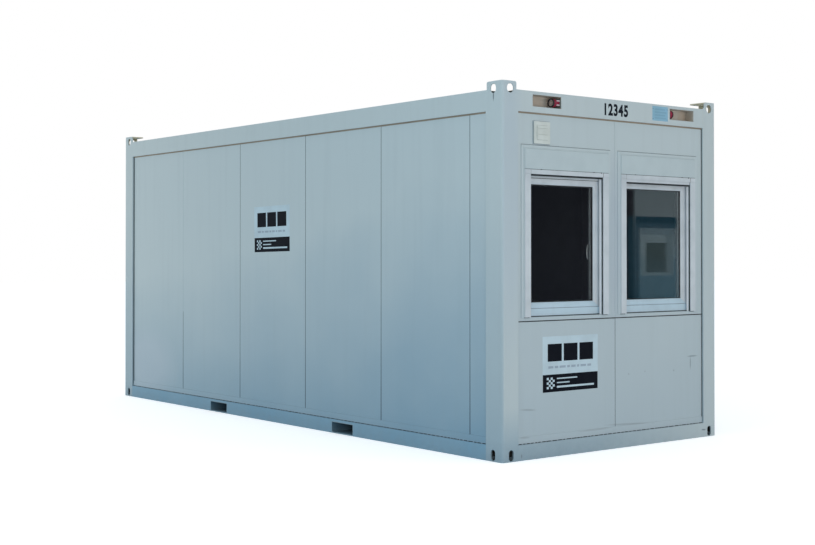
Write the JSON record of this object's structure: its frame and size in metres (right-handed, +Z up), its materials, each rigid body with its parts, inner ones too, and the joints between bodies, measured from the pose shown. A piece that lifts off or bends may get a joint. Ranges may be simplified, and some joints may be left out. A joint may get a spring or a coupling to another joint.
{
  "type": "portable site cabin",
  "caption": "Hollow steel-framed site cabin with sandwich-panel walls, windows with roller shutters at one end, a door at the other, corner castings and fork pockets.",
  "frame": {"origin": "middle of the footprint, on the ground under the corner castings", "axes": "+Z up, +X towards the end with the two windows, +Y towards the rear long side"},
  "size_m": [6.055, 2.435, 2.8],
  "materials": {
    "frame_paint": "satin light blue-grey paint on steel",
    "panel_paint": "satin light blue-grey coil coating",
    "galvanised": "hot-dip galvanised, dull",
    "floor_board": "sealed particle board",
    "ceiling_board": "white coated board",
    "window_plastic": "white extruded plastic",
    "shutter_box_plastic": "light grey cover",
    "glazing": "clear double glazing",
    "vent_plastic": "cream-white moulded plastic",
    "socket_plastic": "red moulded plastic",
    "door_paint": "satin light blue-grey paint",
    "door_metal": "anodised",
    "gasket_rubber": "black seal"
  },
  "bodies": {
    "root": {"bottom_castings": "frame_paint", "top_castings": "frame_paint", "post_front_window_end": "frame_paint", "post_front_door_end": "frame_paint", "post_rear_window_end": "frame_paint", "post_rear_door_end": "frame_paint", "floor_rail_front": "frame_paint", "floor_rail_rear": "frame_paint", "floor_rails_end": "frame_paint", "fork_pockets": "frame_paint", "roof_rail_front": "frame_paint", "roof_rail_rear": "frame_paint", "roof_rail_door_end": "frame_paint", "roof_rail_window_end": "frame_paint", "cross_members": "galvanised", "floor_deck": "floor_board", "ceiling_panel": "ceiling_board", "roof_sheet": "galvanised", "front_wall_panel_1": "panel_paint", "rear_wall_panel_1": "panel_paint", "front_wall_panel_2": "panel_paint", "rear_wall_panel_2": "panel_paint", "front_wall_panel_3": "panel_paint", "rear_wall_panel_3": "panel_paint", "front_wall_panel_4": "panel_paint", "rear_wall_panel_4": "panel_paint", "front_wall_panel_5": "panel_paint", "rear_wall_panel_5": "panel_paint", "wall_fillers": "panel_paint", "window_wall_panels": "panel_paint", "parapet_panels": "panel_paint", "door_wall_panels": "panel_paint", "base_flashings": "panel_paint", "window_trims": "panel_paint", "window_frames": "window_plastic", "window_sashes": "window_plastic", "shutter_guides": "window_plastic", "window_handles": "window_plastic", "shutter_boxes": "shutter_box_plastic", "window_panes": "glazing", "vent_cover": "vent_plastic", "power_sockets": "socket_plastic", "door_frame": "door_paint", "door_leaf": "door_paint", "door_fittings": "door_metal"}
  },
  "joints": []
}
